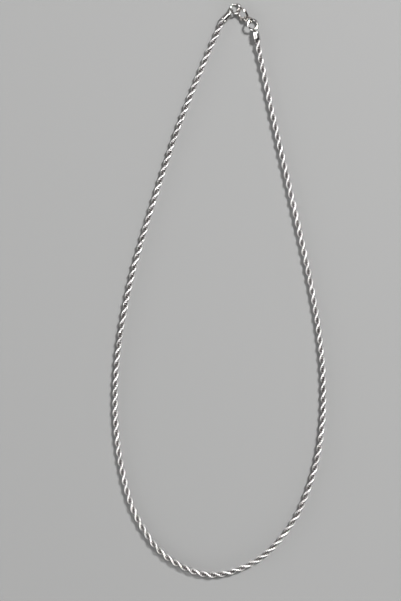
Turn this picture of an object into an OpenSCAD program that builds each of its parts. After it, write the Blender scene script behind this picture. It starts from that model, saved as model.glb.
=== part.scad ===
// Rope chain necklace with a lobster clasp, lying closed on a flat surface.
// Units are millimetres. The surface is z = 0, +Y runs up the loop to the clasp,
// +X is to the right as it lies, and the origin is the middle of its footprint.

/* [Rope] */
// Outer diameter of the rope chain
rope_d = 2.3; // [2.1:0.05:2.6]

/* [End caps] */
// Play between the rope and the bore of a cap, all round
cap_play = 0.05; // [0.03:0.01:0.12]
// Wall of a cap's barrel
cap_wall = 0.18; // [0.14:0.01:0.3]
// Length of a cap's barrel, from its mouth to its closed end
cap_l = 3.7; // [3.4:0.1:5]
// Length of rope that sits in a cap
cap_hold = 2.5; // [1.5:0.1:2.6]
// Rounding of a cap's closed end
cap_round = 0.7; // [0.3:0.05:1]
// Thickness of the wire of a cap's eye
eye_wire = 0.72; // [0.6:0.02:0.8]
// Room beside a jump ring in the hole of a cap's eye
eye_play = 0.21; // [0.18:0.01:0.3]

/* [Jump rings] */
// Outer diameter of a jump ring
ring_d = 5; // [4.8:0.05:5.3]
// Thickness of the wire of a jump ring
ring_wire = 0.76; // [0.6:0.02:0.8]
// Width of the cut where a jump ring is closed
ring_cut = 0.04; // [0.02:0.01:0.1]

/* [Clasp body] */
// Length of the clasp, from its nose to the end of its tail ring
clasp_l = 7.7; // [7.5:0.1:8.5]
// Width of the clasp across its hook
clasp_w = 4.26; // [4.2:0.02:4.6]
// Width of the hook's arm, seen from above
hook_w = 0.76; // [0.6:0.02:0.8]
// Thickness of the hook's arm
hook_h = 0.84; // [0.7:0.02:1]
// Radius of the curved back of the clasp
back_r = 4.2; // [3.8:0.1:5]
// Thickness of the body round the lever's pivot
body_h = 1.5; // [1.4:0.05:1.8]
// Radius of the body round the lever's pivot
hub_r = 0.95; // [0.85:0.05:1.1]
// Thickness of the neck that carries the tail ring
neck_h = 1.1; // [0.9:0.05:1.3]
// Width of the rim of the tail ring
tail_w = 0.56; // [0.45:0.01:0.6]
// Thickness of the tail ring
tail_h = 0.8; // [0.6:0.05:0.9]
// Room beside a jump ring in the tail ring
tail_play = 0.33; // [0.25:0.01:0.4]

/* [Clasp lever] */
// Distance from the pivot back to the middle of the tail ring
pivot_back = 1.68; // [1.6:0.02:1.9]
// Distance from the pivot to the middle line of the clasp
pivot_side = 1; // [0.9:0.05:1.1]
// Diameter of the pivot pin
pin_d = 0.56; // [0.4:0.02:0.7]
// Radial play of the lever on its pin
pin_play = 0.05; // [0.03:0.01:0.08]
// Width of the lever's arm, seen from above
lever_w = 0.7; // [0.55:0.01:0.76]
// Thickness of the lever where it turns in the body
lever_h = 0.8; // [0.6:0.05:0.9]
// Radius of the lever round its pin
root_r = 0.64; // [0.55:0.01:0.75]
// Play of the lever in the body's slot, on each face
slot_play = 0.06; // [0.04:0.01:0.1]
// Gap between the lever's tip and the end of the hook
tip_gap = 0.06; // [0.04:0.01:0.12]
// Radius of the thumb tab
tab_r = 0.4; // [0.3:0.02:0.5]
// Distance from the lever's arm to the middle of the thumb tab
tab_reach = 0.75; // [0.6:0.05:0.9]

/* [Lay] */
// Direction in which the left cap points, from +X
left_turn = 48; // [40:1:56]
// Direction in which the right cap points, from +X
right_turn = 100; // [94:1:106]

/* [Hidden] */
$fn = 96;

// Middle line of the rope as it lies, from the left cap round to the right one
route = [[-0.8, 102.6], [-8.7, 84.2], [-16, 65.6], [-22.5, 46.7], [-28.5, 27.6], [-34.1, 8.3],
         [-38.3, -11.2], [-41, -31], [-41.4, -51], [-39, -70.9], [-33.3, -90], [-21.7, -106.1],
         [-3.7, -113.9], [15.2, -108.1], [28.9, -93.8], [37.1, -75.6], [41.1, -56], [41.7, -36.1],
         [39.9, -16.1], [36.5, 3.6], [32.3, 23.1], [27.8, 42.6], [23.3, 62.1], [19, 81.7]];
// Mouth of the left cap, in plan
left_mouth = [1.8, 107.9];

// Places of the pieces that hang together at the top, each from the one before:
// a step in ring radii from the left eye to the left ring, on to the middle of the hook,
// from the tail ring to the right ring, and on to the right eye
step_to_ring = [0.842, 0.562, -0.043];
step_to_hook = [1.073, -0.808, 0.342];
step_from_tail = [0.634, -0.86, -0.156];
step_to_eye = [0.469, -0.872, -0.096];
// Lean of each jump ring from flat, and the direction in which its upper face looks
left_ring_lean = 24.5;
left_ring_looks = 114;
right_ring_lean = 23.8;
right_ring_looks = 18.5;
// Roll, pitch and heading of the clasp
clasp_turn = [38.4, 1.3, -40.9];

// Rope
rope_sides = 8;
rope_r = rope_d / 2;
rope_z = rope_r * cos(180 / rope_sides);
ring_step = 2.8 * rope_d;

// End caps
cap_r = rope_r + cap_play + cap_wall;
cap_bore_end = 0.2;
eye_mr = (ring_wire + eye_wire) / 2 + eye_play;
eye_sink = 0.1;
eye_x = cap_l + eye_mr - eye_sink;

// Jump rings
ring_mr = (ring_d - ring_wire) / 2;
ring_cut_angle = 2 * asin(ring_cut / ring_mr / 2);

// Clasp, about the middle of its hook: u runs to the tail, v to the curved back
hook_mr = (clasp_w - hook_w) / 2;
tail_mr = (ring_wire + tail_w) / 2 + tail_play;
tail_u = clasp_l - clasp_w / 2 - tail_mr - tail_w / 2;
pivot = [tail_u - pivot_back, -pivot_side];
slot_h = lever_h + 2 * slot_play;
lever_open = 22;
back_end = 46;
back_lip = 0.03;
shoulder_r = hook_w / 2 + 0.1;

// Lever: an arc that leaves the hook's circle at its tip and ends on the pivot
tip_angle = 254;
tip_dir = [cos(tip_angle), sin(tip_angle)];
tip_r = norm(hook_mr * tip_dir - pivot);
lever_k = (pivot * pivot - hook_mr * hook_mr) / (2 * (hook_mr - tip_dir * pivot));
lever_c = -lever_k * tip_dir;
lever_r = hook_mr + lever_k;
lever_end = 360 + atan2(pivot[1] - lever_c[1], pivot[0] - lever_c[0]);
lever_arm_h = 0.95 * lever_h;
tab_angle = 285;

// Places in the frame of the whole necklace
function turn_z(v, a) = [v[0] * cos(a) - v[1] * sin(a), v[0] * sin(a) + v[1] * cos(a)];
function along(p, a, d) = [p[0] + d * cos(a), p[1] + d * sin(a)];
function at_height(p, z) = [p[0], p[1], z];
left_eye = at_height(along(left_mouth, left_turn, eye_x), cap_r);
left_ring_at = left_eye + ring_mr * step_to_ring;
clasp_at = left_ring_at + ring_mr * step_to_hook;
clasp_dir = [cos(clasp_turn[2]) * cos(clasp_turn[1]), sin(clasp_turn[2]) * cos(clasp_turn[1]),
             -sin(clasp_turn[1])];
right_ring_at = clasp_at + tail_u * clasp_dir + ring_mr * step_from_tail;
right_eye = right_ring_at + ring_mr * step_to_eye;
right_mouth = along(right_eye, right_turn, -eye_x);

// Rope route in space: level along the surface, and up to the bore of each cap
rope_path = concat(
    [at_height(along(left_mouth, left_turn, cap_hold), cap_r), at_height(left_mouth, cap_r)],
    [for (p = route) at_height(p, rope_z)],
    [at_height(right_mouth, cap_r), at_height(along(right_mouth, right_turn, cap_hold), cap_r)]);

// A smooth curve through uneven points, level at each, each span cut into equal parts
function unit(v) = v / norm(v);
function span(P, i) = norm(P[i + 1] - P[i]);
function slope(P, i) =
    i == 0 ? unit(P[1] - P[0]) :
    i == len(P) - 1 ? unit(P[i] - P[i - 1]) :
    let (a = span(P, i - 1), b = span(P, i))
    at_height(((P[i] - P[i - 1]) * (b / a) + (P[i + 1] - P[i]) * (a / b)) / (a + b), 0);
function between(P, i, t) =
    let (d = span(P, i))
    (2 * t * t * t - 3 * t * t + 1) * P[i] + (t * t * t - 2 * t * t + t) * d * slope(P, i)
    + (3 * t * t - 2 * t * t * t) * P[i + 1] + (t * t * t - t * t) * d * slope(P, i + 1);
function parts(P, i) = max(1, round(span(P, i) / ring_step));
function smooth_path(P) = concat(
    [for (i = [0 : len(P) - 2]) for (k = [0 : parts(P, i) - 1]) between(P, i, k / parts(P, i))],
    [P[len(P) - 1]]);

// A round bar swept along points, with a flat side down
function sweep_ring(P, i, r, n) =
    let (fwd = unit(P[min(i + 1, len(P) - 1)] - P[max(i - 1, 0)]),
         side = unit(cross([0, 0, 1], fwd)),
         up = cross(fwd, side))
    [for (k = [0 : n - 1]) let (a = 360 * (k + 0.5) / n) P[i] + r * (cos(a) * side + sin(a) * up)];
module sweep(P, r, n) {
    last = len(P) - 1;
    points = [for (i = [0 : last]) each sweep_ring(P, i, r, n)];
    sides = [for (i = [0 : last - 1]) for (k = [0 : n - 1])
        let (a = i * n + k, b = i * n + (k + 1) % n)
        each [[a, b, b + n], [a, b + n, a + n]]];
    ends = [[for (k = [n - 1 : -1 : 0]) k], [for (k = [0 : n - 1]) last * n + k]];
    polyhedron(points, concat(sides, ends));
}

// An upright section w wide and h high with round ends
module oval(w, h) {
    square([w, h - w], center = true);
    for (s = [-1, 1]) translate([0, s * (h - w) / 2]) circle(d = w);
}

// An arc of a bar with that section, from angle a to angle b
module oval_arc(r, a, b, w, h) {
    rotate([0, 0, a]) rotate_extrude(angle = b - a) translate([r, 0]) oval(w, h);
}

// A disc with a rounded rim, centred on its height
module round_disc(r, h, f) {
    rotate_extrude() {
        translate([0, f - h / 2]) square([r, h - 2 * f]);
        translate([0, -h / 2]) square([r - f, h]);
        for (s = [-1, 1]) translate([r - f, s * (h / 2 - f)]) circle(r = f);
    }
}

// Two circles and the straight sides that touch both
module joined_circles(a, ra, b, rb) {
    d = norm(b - a);
    heading = atan2(b[1] - a[1], b[0] - a[0]);
    lean = acos((ra - rb) / d);
    translate(a) circle(r = ra);
    translate(b) circle(r = rb);
    polygon([for (s = [1, -1]) along(a, heading + s * lean, ra),
             for (s = [-1, 1]) along(b, heading + s * lean, rb)]);
}

module rope_chain() {
    color("lightgray") sweep(smooth_path(rope_path), rope_r, rope_sides);
}

// A cap along +X: its mouth at the origin, its closed end and eye towards +X
module end_cap() {
    color("silver") difference() {
        union() {
            rotate([0, 90, 0]) {
                cylinder(r = cap_r, h = cap_l - cap_round);
                translate([0, 0, cap_l - cap_round]) rotate_extrude() {
                    square([cap_r - cap_round, cap_round]);
                    intersection() {
                        translate([cap_r - cap_round, 0]) circle(r = cap_round);
                        square([cap_r, cap_round]);
                    }
                }
            }
            translate([eye_x, 0, 0]) rotate([90, 0, 0])
                rotate_extrude() translate([eye_mr, 0]) circle(d = eye_wire);
        }
        translate([-1, 0, 0]) rotate([0, 90, 0])
            cylinder(r = rope_r + cap_play, h = cap_hold + cap_bore_end + 1);
    }
}
module end_cap_left() {
    translate(at_height(left_mouth, cap_r)) rotate([0, 0, left_turn]) end_cap();
}
module end_cap_right() {
    translate(at_height(right_mouth, cap_r)) rotate([0, 0, right_turn]) end_cap();
}

// A jump ring about its own middle, with its cut at the angle given
module jump_ring(cut_at) {
    color("gainsboro") rotate([0, 0, cut_at + ring_cut_angle / 2])
        rotate_extrude(angle = 360 - ring_cut_angle) translate([ring_mr, 0]) circle(d = ring_wire);
}
module jump_ring_left() {
    translate(left_ring_at) rotate([0, left_ring_lean, left_ring_looks]) jump_ring(20);
}
module jump_ring_right() {
    translate(right_ring_at) rotate([0, right_ring_lean, right_ring_looks]) jump_ring(10);
}

module place_clasp() {
    translate(clasp_at) rotate(clasp_turn) children();
}

// Plan of the solid part between the pivot, the curved back and the tail ring
module clasp_plan() {
    shoulder = [back_r * cos(back_end), hook_mr - back_r + back_r * sin(back_end)];
    tail_root = [tail_u - tail_mr * 0.58, 0];
    joined_circles(pivot, hub_r * 0.85, tail_root, tail_mr * 0.6);
    joined_circles(shoulder, shoulder_r, tail_root, tail_mr * 0.6);
    joined_circles(pivot, hub_r * 0.85, shoulder, shoulder_r);
}

// Room in the body for the lever: its outer wall stops the closed lever, its inner
// wall the open one
module lever_slot() {
    half = lever_w / 2 + slot_play;
    reach = 2 * hub_r;
    shut = atan2(-cos(lever_end), sin(lever_end));
    open = shut - lever_open - 11;
    linear_extrude(slot_h, center = true) translate(pivot) {
        circle(r = root_r + slot_play);
        polygon([turn_z([0, half], shut), turn_z([reach, half], shut),
                 turn_z([reach, -half], open), turn_z([0, -half], open)]);
    }
}

module clasp_body() {
    color("silver") place_clasp() {
        difference() {
            oval_arc(hook_mr, 78, tip_angle + 10, hook_w, hook_h);
            translate(pivot) cylinder(r = tip_r + tip_gap, h = 2 * hook_h, center = true);
        }
        translate([0, hook_mr - back_r, 0])
            oval_arc(back_r, back_end, 90, hook_w + 2 * back_lip, hook_h + 2 * back_lip);
        difference() {
            union() {
                translate(pivot) round_disc(hub_r, body_h, 0.3);
                linear_extrude(neck_h, center = true) clasp_plan();
            }
            lever_slot();
            translate(pivot) cylinder(d = pin_d, h = 2 * body_h, center = true);
            translate([tail_u, 0]) cylinder(r = tail_mr, h = 2 * body_h, center = true);
        }
        translate([tail_u, 0, 0]) rotate_extrude() translate([tail_mr, 0]) oval(tail_w, tail_h);
    }
}

module clasp_lever() {
    color("darkgray") place_clasp() difference() {
        union() {
            intersection() {
                translate(lever_c) oval_arc(lever_r, tip_angle - 8, lever_end, lever_w, lever_arm_h);
                translate(pivot) cylinder(r = tip_r, h = 2 * lever_h, center = true);
            }
            translate(lever_c) rotate([0, 0, tab_angle]) translate([lever_r, 0, 0]) {
                rotate([0, 90, 0]) cylinder(r = tab_r * 0.65, h = tab_reach);
                translate([tab_reach, 0, 0]) sphere(r = tab_r);
            }
            translate(pivot) cylinder(r = root_r, h = lever_h, center = true);
        }
        translate(pivot) cylinder(r = pin_d / 2 + pin_play, h = 2 * lever_h, center = true);
    }
}

module clasp_rivet() {
    color("dimgray") place_clasp() translate(pivot) cylinder(d = pin_d - 0.02, h = body_h, center = true);
}

rope_chain();
end_cap_left();
end_cap_right();
jump_ring_left();
jump_ring_right();
clasp_body();
clasp_lever();
clasp_rivet();
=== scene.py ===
# Rope chain necklace with a lobster clasp, lying closed on a pale table.
# Pieces are shaped in millimetres, in the frame of the whole necklace, and brought to metres
# when their mesh is finished. Angles are in degrees.
import math
import random

import bmesh
import bpy
from mathutils import Matrix, Vector


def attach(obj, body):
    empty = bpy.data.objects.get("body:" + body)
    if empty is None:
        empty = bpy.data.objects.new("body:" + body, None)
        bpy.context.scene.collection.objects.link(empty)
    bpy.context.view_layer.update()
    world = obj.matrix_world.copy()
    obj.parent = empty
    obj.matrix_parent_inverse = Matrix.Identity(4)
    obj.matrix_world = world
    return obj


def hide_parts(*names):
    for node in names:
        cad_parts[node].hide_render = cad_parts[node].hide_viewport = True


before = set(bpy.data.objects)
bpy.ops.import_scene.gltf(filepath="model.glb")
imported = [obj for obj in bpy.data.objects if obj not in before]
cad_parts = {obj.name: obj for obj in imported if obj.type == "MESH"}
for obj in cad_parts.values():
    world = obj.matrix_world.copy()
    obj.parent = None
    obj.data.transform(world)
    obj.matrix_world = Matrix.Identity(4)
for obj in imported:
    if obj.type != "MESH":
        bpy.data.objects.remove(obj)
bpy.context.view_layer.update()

MM = 0.001
MERGE_DIST = 0.0005

# Rope: its outer diameter and the height of its middle line
ROPE_D = 2.3
ROPE_Z = ROPE_D / 2
CURVE_PARTS = 40

# Rings of the rope: radius to the middle of the wire, distance from the rope's middle line and
# lean out of the plane across the rope
LINK_WIRE = 0.29
LINK_R = 0.714
LINK_OFF = 0.29
LINK_LEAN = -37
LINK_SIDES = 14
LINK_WIRE_SIDES = 6
LINKS_PER_HALF_TURN = 10
HALF_TURN = 1.72 * ROPE_D
LINK_STEP = HALF_TURN / LINKS_PER_HALF_TURN
LINK_TURN = math.pi + math.pi / LINKS_PER_HALF_TURN
TONE_SEED = 7

# End caps, along their axis from the mouth, with the eye let into the round end
CAP_WALL = 0.18
CAP_BORE_R = 1.2
CAP_BORE_L = 2.7
CAP_BORE_BEVEL = 0.06
CAP_R = CAP_BORE_R + CAP_WALL
CAP_L = 3.7
CAP_WAIST = 1.5
CAP_ROUND = 0.7
CAP_ROUND_STEPS = 8
CAP_SIDES = 72
CAP_HOLD = 2.5
LIP_L = 0.07
LIP_INNER = 0.06
LIP_OUTER = 0.07
LIP_CORNER = (0.02, 0.03)
EYE_WIRE = 0.72
EYE_R = 0.95
EYE_X = 4.55
EYE_SIDES = 56
EYE_WIRE_SIDES = 20

# Jump rings, with the angle that their cut takes up and the place of the cut
RING_WIRE = 0.76
RING_R = 2.12
RING_SIDES = 96
RING_WIRE_SIDES = 24
RING_CUT = 1.1
RING_BEVEL = 0.03
LEFT_RING_CUT_AT = 20
RIGHT_RING_CUT_AT = 10

# Clasp: its castings are softened on a grid of small cubes, in a number of rounds
BODY_GRID = 0.04
BODY_ROUNDS = 5
LEVER_GRID = 0.035
LEVER_ROUNDS = 4
TUMBLING = 0.5

# Rivet: its dome as (distance past the body's side, share of the pin's radius)
PIVOT = (2.62, -1.0)
PIN_R = 0.27
PIN_SIDES = 40
BODY_H = 1.5
PIN_DOME = [(0.05, 0), (0.045, 0.5), (0.02, 0.85), (-0.02, 1)]

# Lay, as in the part's source; a step leads from one middle to the next, in ring radii
LEFT_TURN = 48
RIGHT_TURN = 100
LEFT_MOUTH = Vector((1.8, 107.9, CAP_R))
TAIL_X = 4.3
STEP_TO_RING = Vector((0.842, 0.562, -0.043))
STEP_TO_HOOK = Vector((1.073, -0.808, 0.342))
STEP_FROM_TAIL = Vector((0.634, -0.86, -0.156))
STEP_TO_EYE = Vector((0.469, -0.872, -0.096))
LEFT_RING_LEAN = 24.5
LEFT_RING_LOOKS = 114
RIGHT_RING_LEAN = 23.8
RIGHT_RING_LOOKS = 18.5
CLASP_TURN = (38.4, 1.3, -40.9)
ROUTE = [(-0.8, 102.6), (-8.7, 84.2), (-16, 65.6), (-22.5, 46.7), (-28.5, 27.6), (-34.1, 8.3),
         (-38.3, -11.2), (-41, -31), (-41.4, -51), (-39, -70.9), (-33.3, -90), (-21.7, -106.1),
         (-3.7, -113.9), (15.2, -108.1), (28.9, -93.8), (37.1, -75.6), (41.1, -56), (41.7, -36.1),
         (39.9, -16.1), (36.5, 3.6), (32.3, 23.1), (27.8, 42.6), (23.3, 62.1), (19, 81.7)]

# Finishes: hairlines run along one slanted direction, and noise seldom leaves its middle range
HAIRLINE_STRETCH = (1.0, 0.12, 0.4)
HAIRLINE_TURN = (0.4, 0.2, 0.9)
NOISE_LOW = 0.3
NOISE_HIGH = 0.7
SHADE_LOW = 0.9
SHADE_HIGH = 1.08
# Roughness added where the painted shade lies
SHADE_MASK_DULLING = 0.25

# Table
TABLE_GREY = (0.108, 0.108, 0.107)
TABLE_ROUGHNESS = 0.9
TABLE_HALF = 2500
TABLE_DROP = 0.005

# Camera: the height of the view at the rope, its middle, and the lens
CAMERA_AT = (-7.4, -4.2)
FRAME_HEIGHT = 240.4
LENS = 100
SENSOR = 36
CLIP_END = 10

# Room: its walls fade into the ceiling between these heights on a ball round the scene
ROOM_WALL = (0.3, 0.3, 0.305)
ROOM_CEILING = (0.02, 0.02, 0.022)
WALL_TOP = 0.3
CEILING_EDGE = 0.6

# Lights: name, side that it stands on, height as an angle, then in metres its distance and its
# width and height, and watts
LIGHTS = [("key", (0.72, 0.69), 41, 2.4, (0.4, 0.4), 225),
          ("window", (-0.6, 0.8), 76, 1.6, (1.1, 1.1), 12),
          ("left_fill", (-1, 0.1), 17, 3, (2.4, 1.6), 98),
          ("front_fill", (0.1, -1), 17, 3, (2.4, 1.6), 118)]


def turned(axis, degrees):
    """A turn about an axis."""
    return Matrix.Rotation(math.radians(degrees), 4, axis)


def heading(degrees):
    """The level direction at an angle from +X."""
    return Vector((math.cos(math.radians(degrees)), math.sin(math.radians(degrees)), 0))


# Places of the pieces

left_eye = LEFT_MOUTH + EYE_X * heading(LEFT_TURN)
left_ring_at = left_eye + RING_R * STEP_TO_RING
clasp_at = left_ring_at + RING_R * STEP_TO_HOOK
clasp_place = (Matrix.Translation(clasp_at) @ turned("Z", CLASP_TURN[2])
               @ turned("Y", CLASP_TURN[1]) @ turned("X", CLASP_TURN[0]))
right_ring_at = clasp_place @ Vector((TAIL_X, 0, 0)) + RING_R * STEP_FROM_TAIL
right_eye = right_ring_at + RING_R * STEP_TO_EYE
right_mouth = right_eye - EYE_X * heading(RIGHT_TURN)
left_cap_place = Matrix.Translation(LEFT_MOUTH) @ turned("Z", LEFT_TURN)
right_cap_place = Matrix.Translation(right_mouth) @ turned("Z", RIGHT_TURN)
left_ring_place = (Matrix.Translation(left_ring_at) @ turned("Z", LEFT_RING_LOOKS)
                   @ turned("Y", LEFT_RING_LEAN))
right_ring_place = (Matrix.Translation(right_ring_at) @ turned("Z", RIGHT_RING_LOOKS)
                    @ turned("Y", RIGHT_RING_LEAN))


def finished(name, bm, place, material, smooth=True):
    """Turns a bmesh in millimetres into a piece in metres, in its place."""
    bmesh.ops.transform(bm, matrix=Matrix.Scale(MM, 4) @ place, verts=bm.verts)
    mesh = bpy.data.meshes.new(name)
    bm.to_mesh(mesh)
    bm.free()
    mesh.polygons.foreach_set("use_smooth", [smooth] * len(mesh.polygons))
    mesh.materials.append(material)
    piece = bpy.data.objects.new(name, mesh)
    bpy.context.scene.collection.objects.link(piece)
    return piece


# The rope


def rope_points():
    """The points that the source's tube follows, from inside one cap to inside the other."""
    left_in = LEFT_MOUTH + CAP_HOLD * heading(LEFT_TURN)
    right_in = right_mouth + CAP_HOLD * heading(RIGHT_TURN)
    lying = [Vector((x, y, ROPE_Z)) for x, y in ROUTE]
    return [left_in, LEFT_MOUTH] + lying + [right_mouth, right_in]


def level_slope(points, i):
    """The curve's slope at a point, level except at the ends."""
    if i == 0:
        return (points[1] - points[0]).normalized()
    if i == len(points) - 1:
        return (points[i] - points[i - 1]).normalized()
    before = points[i] - points[i - 1]
    after = points[i + 1] - points[i]
    a, b = before.length, after.length
    slope = (before * (b / a) + after * (a / b)) / (a + b)
    slope.z = 0
    return slope


def rope_curve():
    """Closely spaced points along the rope's middle line."""
    points = rope_points()
    line = []
    for i in range(len(points) - 1):
        p, q = points[i], points[i + 1]
        d = (q - p).length
        u, v = level_slope(points, i), level_slope(points, i + 1)
        for k in range(CURVE_PARTS):
            t = k / CURVE_PARTS
            line.append((2 * t**3 - 3 * t**2 + 1) * p + (t**3 - 2 * t**2 + t) * d * u
                        + (3 * t**2 - 2 * t**3) * q + (t**3 - t**2) * d * v)
    line.append(points[-1])
    return line


def link_place(at, forward, number):
    """Place of one ring: it stands half a turn and a little on from the ring before it."""
    side = Vector((0, 0, 1)).cross(forward).normalized()
    up = forward.cross(side)
    angle = number * LINK_TURN
    out = math.cos(angle) * side + math.sin(angle) * up
    round_rope = math.cos(angle) * up - math.sin(angle) * side
    lean = math.radians(LINK_LEAN)
    across = math.cos(lean) * round_rope - math.sin(lean) * forward
    axis = out.cross(across)
    turn = Matrix((out, across, axis)).transposed().to_4x4()
    return Matrix.Translation(at + LINK_OFF * out) @ turn


def link_places():
    """Places of all rings, evenly spaced along the rope."""
    line = rope_curve()
    places = []
    travelled = 0.0
    due = LINK_R
    end = sum((b - a).length for a, b in zip(line, line[1:])) - LINK_R
    for a, b in zip(line, line[1:]):
        length = (b - a).length
        while due <= travelled + length and due <= end:
            at = a.lerp(b, (due - travelled) / length)
            places.append(link_place(at, (b - a).normalized(), len(places)))
            due += LINK_STEP
        travelled += length
    return places


def plain_ring(radius, wire, steps, sides, angle=360):
    """A ring of round wire about Z, whole or with a cut at +X."""
    bm = bmesh.new()
    whole = angle == 360
    section = bmesh.ops.create_circle(bm, cap_ends=not whole, segments=sides, radius=wire / 2)
    to_start = (turned("Z", (360 - angle) / 2) @ Matrix.Translation((radius, 0, 0))
                @ turned("X", 90))
    bmesh.ops.transform(bm, matrix=to_start, verts=section["verts"])
    bmesh.ops.spin(bm, geom=bm.verts[:] + bm.edges[:] + bm.faces[:], cent=(0, 0, 0),
                   axis=(0, 0, 1), angle=math.radians(angle), steps=steps, use_merge=whole)
    bmesh.ops.remove_doubles(bm, verts=bm.verts, dist=MERGE_DIST)
    bmesh.ops.recalc_face_normals(bm, faces=bm.faces)
    return bm


def rope_links(name, places, material):
    """The rings of a stretch of rope in one mesh, each with its own shade of polish.

    Every point also knows how far out it stands: 1 on the rope's outside, 0 on its middle line.
    """
    one = bpy.data.meshes.new("one_link")
    ring = plain_ring(LINK_R, LINK_WIRE, LINK_SIDES, LINK_WIRE_SIDES)
    ring.to_mesh(one)
    ring.free()
    lean = math.radians(LINK_LEAN)
    outness = [math.hypot(LINK_OFF + v.co.x, math.cos(lean) * v.co.y + math.sin(lean) * v.co.z)
               / (ROPE_D / 2) for v in one.vertices]
    rope = bmesh.new()
    for place in places:
        laid = one.copy()
        laid.transform(place)
        rope.from_mesh(laid)
        bpy.data.meshes.remove(laid)
    bpy.data.meshes.remove(one)
    piece = finished(name, rope, Matrix.Identity(4), material)
    draw = random.Random(TONE_SEED)
    tones = [draw.random() for _ in places]
    tone = piece.data.attributes.new("link_tone", "FLOAT", "POINT")
    tone.data.foreach_set("value", [t for t in tones for _ in outness])
    # How far out a point stands sets the painted shade between the rings.
    standing = piece.data.attributes.new("link_outness", "FLOAT", "POINT")
    standing.data.foreach_set("value", outness * len(places))
    return piece


# The fittings


def spun_about_x(profile, steps):
    """A turned piece: a profile of (along, radius) points spun about X."""
    bm = bmesh.new()
    corners = [bm.verts.new((x, r, 0)) for x, r in profile]
    for a, b in zip(corners, corners[1:]):
        bm.edges.new((a, b))
    bmesh.ops.spin(bm, geom=bm.verts[:] + bm.edges[:], cent=(0, 0, 0), axis=(1, 0, 0),
                   angle=math.tau, steps=steps, use_merge=True)
    bmesh.ops.remove_doubles(bm, verts=bm.verts, dist=MERGE_DIST)
    bmesh.ops.recalc_face_normals(bm, faces=bm.faces)
    return bm


def quarter(x, r, radius, steps):
    """Points of a rounded end, from the side round to the flat."""
    turns = [math.pi / 2 * k / steps for k in range(steps + 1)]
    return [(x + radius * math.sin(t), r + radius * math.cos(t)) for t in turns]


def end_cap(name, place, material):
    """A drilled cap with a softened mouth and an upright eye let into its round end."""
    along, inward = LIP_CORNER
    profile = [(CAP_BORE_L, 0),
               (CAP_BORE_L, CAP_BORE_R - CAP_BORE_BEVEL),
               (CAP_BORE_L - CAP_BORE_BEVEL, CAP_BORE_R),
               (LIP_L, CAP_BORE_R),
               (along, CAP_BORE_R + inward),
               (0, CAP_BORE_R + LIP_INNER),
               (0, CAP_R - LIP_OUTER),
               (along, CAP_R - inward),
               (LIP_L, CAP_R),
               (CAP_WAIST, CAP_R)]
    profile += quarter(CAP_L - CAP_ROUND, CAP_R - CAP_ROUND, CAP_ROUND, CAP_ROUND_STEPS)
    profile.append((CAP_L, 0))
    cap = spun_about_x(profile, CAP_SIDES)
    eye = plain_ring(EYE_R, EYE_WIRE, EYE_SIDES, EYE_WIRE_SIDES)
    bmesh.ops.transform(eye, matrix=Matrix.Translation((EYE_X, 0, 0)) @ turned("X", 90),
                        verts=eye.verts)
    loose = bpy.data.meshes.new(name + "_eye")
    eye.to_mesh(loose)
    eye.free()
    cap.from_mesh(loose)
    bpy.data.meshes.remove(loose)
    return finished(name, cap, place, material)


def jump_ring(name, place, cut_at, material):
    """A ring of drawn wire, closed on a hairline cut with softened ends."""
    bm = plain_ring(RING_R, RING_WIRE, RING_SIDES, RING_WIRE_SIDES, 360 - RING_CUT)
    ends = [f for f in bm.faces if len(f.verts) > 4]
    rims = list({e for f in ends for e in f.edges})
    bmesh.ops.bevel(bm, geom=rims, offset=RING_BEVEL, offset_type="OFFSET", segments=2,
                    profile=0.5, affect="EDGES", material=-1)
    return finished(name, bm, place @ turned("Z", cut_at), material)


def cast_piece(name, source, grid, rounds, material):
    """A tumbled casting: the source's solid with every edge and inner corner softened."""
    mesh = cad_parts[source].data.copy()
    bm = bmesh.new()
    bm.from_mesh(mesh)
    bmesh.ops.transform(bm, matrix=Matrix.Scale(1 / MM, 4), verts=bm.verts)
    bmesh.ops.remove_doubles(bm, verts=bm.verts, dist=MERGE_DIST)
    bm.to_mesh(mesh)
    bm.free()
    raw = bpy.data.objects.new(name + "_raw", mesh)
    bpy.context.scene.collection.objects.link(raw)
    remesh = raw.modifiers.new("tumbled", "REMESH")
    remesh.mode = "VOXEL"
    remesh.voxel_size = grid
    soften = raw.modifiers.new("polished", "SMOOTH")
    soften.factor = TUMBLING
    soften.iterations = rounds
    drawn = raw.evaluated_get(bpy.context.evaluated_depsgraph_get())
    cast = bmesh.new()
    cast.from_mesh(drawn.to_mesh())
    drawn.to_mesh_clear()
    bpy.data.objects.remove(raw)
    bpy.data.meshes.remove(mesh)
    return finished(name, cast, Matrix.Identity(4), material)


def rivet(name, material):
    """The lever's pin, with both ends set to a low dome."""
    half = BODY_H / 2
    profile = [(-half - past, PIN_R * share) for past, share in PIN_DOME]
    profile += [(half + past, PIN_R * share) for past, share in reversed(PIN_DOME)]
    bm = spun_about_x(profile, PIN_SIDES)
    place = clasp_place @ Matrix.Translation((*PIVOT, 0)) @ turned("Y", -90)
    return finished(name, bm, place, material)


# The finishes


def node(tree, kind, at, **settings):
    """Adds a node to a tree and sets its properties."""
    made = tree.nodes.new(kind)
    made.location = at
    for key, value in settings.items():
        setattr(made, key, value)
    return made


def group(name, inputs, outputs):
    """An empty shader group; the socket Vector takes a vector, every other one a number."""
    tree = bpy.data.node_groups.new(name, "ShaderNodeTree")
    for side, sockets in (("INPUT", inputs), ("OUTPUT", outputs)):
        for socket in sockets:
            kind = "NodeSocketVector" if socket == "Vector" else "NodeSocketFloat"
            tree.interface.new_socket(socket, in_out=side, socket_type=kind)
    entry = node(tree, "NodeGroupInput", (-900, 0))
    leave = node(tree, "NodeGroupOutput", (700, 0))
    return tree, entry, leave


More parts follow.
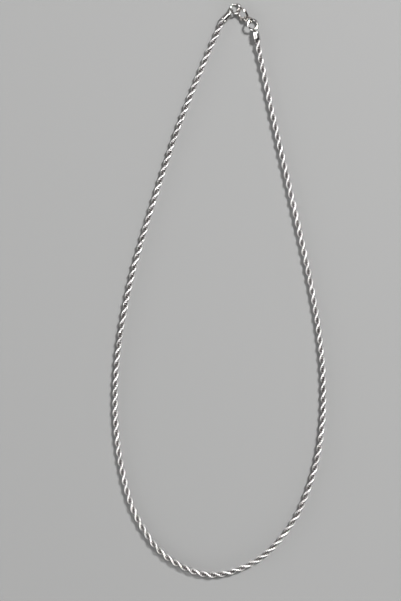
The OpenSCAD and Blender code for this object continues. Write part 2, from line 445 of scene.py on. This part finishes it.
def polish_marks():
    """Hairlines and soft waviness of hand-polished metal: a height and an uneven gloss."""
    tree, entry, leave = group("polish_marks", ["Vector", "Mark size", "Wave size", "Hairlines"],
                               ["Height", "Gloss"])
    link = tree.links.new
    stretch = node(tree, "ShaderNodeMapping", (-650, 200))
    stretch.inputs["Scale"].default_value = HAIRLINE_STRETCH
    stretch.inputs["Rotation"].default_value = HAIRLINE_TURN
    link(entry.outputs["Vector"], stretch.inputs["Vector"])
    lines = node(tree, "ShaderNodeTexNoise", (-400, 200))
    lines.inputs["Detail"].default_value = 3.0
    lines.inputs["Roughness"].default_value = 0.6
    link(stretch.outputs["Vector"], lines.inputs["Vector"])
    link(entry.outputs["Mark size"], lines.inputs["Scale"])
    waves = node(tree, "ShaderNodeTexNoise", (-400, -100))
    waves.inputs["Detail"].default_value = 2.0
    link(entry.outputs["Vector"], waves.inputs["Vector"])
    link(entry.outputs["Wave size"], waves.inputs["Scale"])
    weighted = node(tree, "ShaderNodeMath", (-150, 150), operation="MULTIPLY")
    link(lines.outputs["Fac"], weighted.inputs[0])
    link(entry.outputs["Hairlines"], weighted.inputs[1])
    height = node(tree, "ShaderNodeMath", (100, 100), operation="ADD")
    link(weighted.outputs[0], height.inputs[0])
    link(waves.outputs["Fac"], height.inputs[1])
    gloss = node(tree, "ShaderNodeMapRange", (100, -150))
    gloss.inputs["From Min"].default_value = NOISE_LOW
    gloss.inputs["From Max"].default_value = NOISE_HIGH
    link(lines.outputs["Fac"], gloss.inputs["Value"])
    link(height.outputs[0], leave.inputs["Height"])
    link(gloss.outputs["Result"], leave.inputs["Gloss"])
    return tree


def recess_painted_shade():
    """Painted shade in recesses: a mask from 0 to 1 that rises where ambient occlusion finds a
    point sheltered.
    """
    tree, entry, leave = group("recess_painted_shade", ["Reach", "Start", "Full"], ["Mask"])
    link = tree.links.new
    shelter = node(tree, "ShaderNodeAmbientOcclusion", (-500, 0), samples=8, only_local=True)
    link(entry.outputs["Reach"], shelter.inputs["Distance"])
    mask = node(tree, "ShaderNodeMapRange", (-150, 0))
    link(shelter.outputs["AO"], mask.inputs["Value"])
    link(entry.outputs["Start"], mask.inputs["From Min"])
    link(entry.outputs["Full"], mask.inputs["From Max"])
    link(mask.outputs["Result"], leave.inputs["Mask"])
    return tree


def outness_painted_shade():
    """Painted shade between the rope's rings: a mask from how far out a point stands."""
    tree, entry, leave = group("outness_painted_shade", ["Outside", "Inside"], ["Mask"])
    link = tree.links.new
    standing = node(tree, "ShaderNodeAttribute", (-500, 0), attribute_name="link_outness")
    mask = node(tree, "ShaderNodeMapRange", (-150, 0))
    link(standing.outputs["Fac"], mask.inputs["Value"])
    link(entry.outputs["Outside"], mask.inputs["From Min"])
    link(entry.outputs["Inside"], mask.inputs["From Max"])
    link(mask.outputs["Result"], leave.inputs["Mask"])
    return tree


polish_group = polish_marks()
recess_shade_group = recess_painted_shade()
outness_group = outness_painted_shade()


def grouped(tree, tree_used, at, values):
    """A group in a material, with its sockets set."""
    made = node(tree, "ShaderNodeGroup", at, node_tree=tree_used)
    for socket, value in values.items():
        made.inputs[socket].default_value = value
    return made


def steel(name, bright, painted_shade, gloss, marks, recess, bump, of_links=False):
    """Polished steel, with painted shade in its recesses.

    gloss is the lowest and the highest roughness, marks and recess set the groups, and bump is
    the marks' depth in metres. The second colour is painted shade, mixed in by the mask, which
    also dulls the steel. The rope's rings differ in tone at random, and how far out their points
    stand sets their painted shade.
    """
    made = bpy.data.materials.new(name)
    made.use_nodes = True
    tree = made.node_tree
    link = tree.links.new
    shader = tree.nodes["Principled BSDF"]
    shader.inputs["Metallic"].default_value = 1.0
    place = node(tree, "ShaderNodeTexCoord", (-1300, 0))
    marked = grouped(tree, polish_group, (-1050, -100), marks)
    link(place.outputs["Object"], marked.inputs["Vector"])
    # Painted shade: the mask darkens the steel towards a near-black colour in recesses, or
    # between the rope's rings, and dulls it there.
    shade_mask = grouped(tree, outness_group if of_links else recess_shade_group, (-1050, 250), recess)
    colour = node(tree, "ShaderNodeMix", (-500, 250), data_type="RGBA")
    colour.inputs["A"].default_value = (*bright, 1)
    colour.inputs["B"].default_value = (*painted_shade, 1)
    link(shade_mask.outputs["Mask"], colour.inputs["Factor"])
    if of_links:
        shade = node(tree, "ShaderNodeAttribute", (-1050, 550), attribute_name="link_tone")
        brighter = node(tree, "ShaderNodeMix", (-750, 450), data_type="RGBA")
        brighter.inputs["A"].default_value = (*[SHADE_LOW * c for c in bright], 1)
        brighter.inputs["B"].default_value = (*[min(1, SHADE_HIGH * c) for c in bright], 1)
        link(shade.outputs["Fac"], brighter.inputs["Factor"])
        link(brighter.outputs["Result"], colour.inputs["A"])
    link(colour.outputs["Result"], shader.inputs["Base Color"])
    rough = node(tree, "ShaderNodeMapRange", (-500, -50))
    rough.inputs["To Min"].default_value = gloss[0]
    rough.inputs["To Max"].default_value = gloss[1]
    link(marked.outputs["Gloss"], rough.inputs["Value"])
    dulled = node(tree, "ShaderNodeMath", (-250, -50), operation="MULTIPLY_ADD")
    dulled.inputs[1].default_value = SHADE_MASK_DULLING
    link(shade_mask.outputs["Mask"], dulled.inputs[0])
    link(rough.outputs["Result"], dulled.inputs[2])
    link(dulled.outputs[0], shader.inputs["Roughness"])
    relief = node(tree, "ShaderNodeBump", (-250, -300))
    relief.inputs["Strength"].default_value = 1.0
    relief.inputs["Distance"].default_value = bump
    link(marked.outputs["Height"], relief.inputs["Height"])
    link(relief.outputs["Normal"], shader.inputs["Normal"])
    return made


# Each steel's second, near-black colour is painted shade.
chain_steel = steel(
    "chain_steel", bright=(0.86, 0.84, 0.83), painted_shade=(0.04, 0.032, 0.031), gloss=(0.28, 0.34),
    marks={"Mark size": 14000.0, "Wave size": 2500.0, "Hairlines": 0.3},
    recess={"Outside": 0.82, "Inside": 0.54}, bump=0.0000015, of_links=True)
cap_steel = steel(
    "cap_steel", bright=(0.5, 0.487, 0.47), painted_shade=(0.05, 0.045, 0.04), gloss=(0.06, 0.1),
    marks={"Mark size": 9000.0, "Wave size": 900.0, "Hairlines": 0.15},
    recess={"Reach": 0.0006, "Start": 0.6, "Full": 0.2}, bump=0.0000015)
ring_steel = steel(
    "ring_steel", bright=(0.5, 0.487, 0.47), painted_shade=(0.05, 0.045, 0.04), gloss=(0.06, 0.1),
    marks={"Mark size": 12000.0, "Wave size": 1100.0, "Hairlines": 0.2},
    recess={"Reach": 0.0004, "Start": 0.6, "Full": 0.2}, bump=0.0000008)
clasp_steel = steel(
    "clasp_steel", bright=(0.37, 0.35, 0.325), painted_shade=(0.045, 0.04, 0.035), gloss=(0.08, 0.13),
    marks={"Mark size": 10000.0, "Wave size": 1600.0, "Hairlines": 0.2},
    recess={"Reach": 0.0008, "Start": 0.7, "Full": 0.25}, bump=0.000002)
rivet_steel = steel(
    "rivet_steel", bright=(0.70, 0.69, 0.68), painted_shade=(0.06, 0.055, 0.05), gloss=(0.25, 0.4),
    marks={"Mark size": 16000.0, "Wave size": 3000.0, "Hairlines": 0.6},
    recess={"Reach": 0.0003, "Start": 0.7, "Full": 0.25}, bump=0.000002)


def table_top():
    """The pale table, which isn't part of the necklace."""
    made = bpy.data.materials.new("pale_table")
    made.use_nodes = True
    shader = made.node_tree.nodes["Principled BSDF"]
    shader.inputs["Base Color"].default_value = (*TABLE_GREY, 1)
    shader.inputs["Roughness"].default_value = TABLE_ROUGHNESS
    bm = bmesh.new()
    bmesh.ops.create_grid(bm, x_segments=1, y_segments=1, size=TABLE_HALF)
    under = Matrix.Translation((0, 0, -TABLE_DROP))
    top = finished("table_top", bm, under, made, smooth=False)


# The necklace

places = link_places()
halfway = len(places) // 2
rope_left = rope_links("rope_links_left", places[:halfway], chain_steel)
rope_right = rope_links("rope_links_right", places[halfway:], chain_steel)
for stretch in (rope_left, rope_right):
    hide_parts("rope_chain")

cap_left = end_cap("cap_left", left_cap_place, cap_steel)
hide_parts("end_cap_left")
cap_right = end_cap("cap_right", right_cap_place, cap_steel)
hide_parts("end_cap_right")

ring_left = jump_ring("ring_left", left_ring_place, LEFT_RING_CUT_AT, ring_steel)
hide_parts("jump_ring_left")
ring_right = jump_ring("ring_right", right_ring_place, RIGHT_RING_CUT_AT, ring_steel)
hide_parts("jump_ring_right")

body = cast_piece("clasp_casting", "clasp_body", BODY_GRID, BODY_ROUNDS, clasp_steel)
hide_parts("clasp_body")
lever = cast_piece("lever_casting", "clasp_lever", LEVER_GRID, LEVER_ROUNDS, clasp_steel)
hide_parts("clasp_lever")
pin = rivet("rivet_pin", rivet_steel)
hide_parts("clasp_rivet")

for piece in (rope_left, rope_right, cap_left, cap_right, ring_left, ring_right, body, pin):
    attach(piece, "necklace")
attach(lever, "lever")

table_top()


# The camera and the light


def set_camera():
    """Looks straight down, as the photograph does."""
    data = bpy.data.cameras.new("camera")
    data.lens = LENS
    data.sensor_width = SENSOR
    data.clip_end = CLIP_END
    camera = bpy.data.objects.new("camera", data)
    camera.location = Vector((*CAMERA_AT, ROPE_Z + FRAME_HEIGHT * LENS / SENSOR)) * MM
    bpy.context.scene.collection.objects.link(camera)
    bpy.context.scene.camera = camera


def softbox(name, direction, height, distance, size, power):
    """A soft light, wide and tall as size says, that looks at the middle of the necklace."""
    data = bpy.data.lights.new(name, "AREA")
    data.shape = "RECTANGLE"
    data.size, data.size_y = size
    data.energy = power
    box = bpy.data.objects.new(name, data)
    up = math.radians(height)
    flat = Vector((*direction, 0)).normalized()
    way = flat * math.cos(up) + Vector((0, 0, math.sin(up)))
    box.location = way * distance
    box.rotation_euler = (-way).to_track_quat("-Z", "Y").to_euler()
    bpy.context.scene.collection.objects.link(box)


def studio_room():
    """Pale walls all round and a dark ceiling, where the camera is."""
    world = bpy.data.worlds.new("studio_room")
    bpy.context.scene.world = world
    world.use_nodes = True
    tree = world.node_tree
    link = tree.links.new
    look = node(tree, "ShaderNodeTexCoord", (-900, 0))
    parts = node(tree, "ShaderNodeSeparateXYZ", (-700, 0))
    link(look.outputs["Generated"], parts.inputs["Vector"])
    rise = node(tree, "ShaderNodeMapRange", (-500, 0), interpolation_type="SMOOTHSTEP")
    rise.inputs["From Min"].default_value = WALL_TOP
    rise.inputs["From Max"].default_value = CEILING_EDGE
    link(parts.outputs["Z"], rise.inputs["Value"])
    shade = node(tree, "ShaderNodeMix", (-250, 0), data_type="RGBA")
    shade.inputs["A"].default_value = (*ROOM_WALL, 1)
    shade.inputs["B"].default_value = (*ROOM_CEILING, 1)
    link(rise.outputs["Result"], shade.inputs["Factor"])
    link(shade.outputs["Result"], tree.nodes["Background"].inputs["Color"])


set_camera()
studio_room()
for light in LIGHTS:
    softbox(*light)
bpy.context.scene.view_settings.view_transform = "Standard"
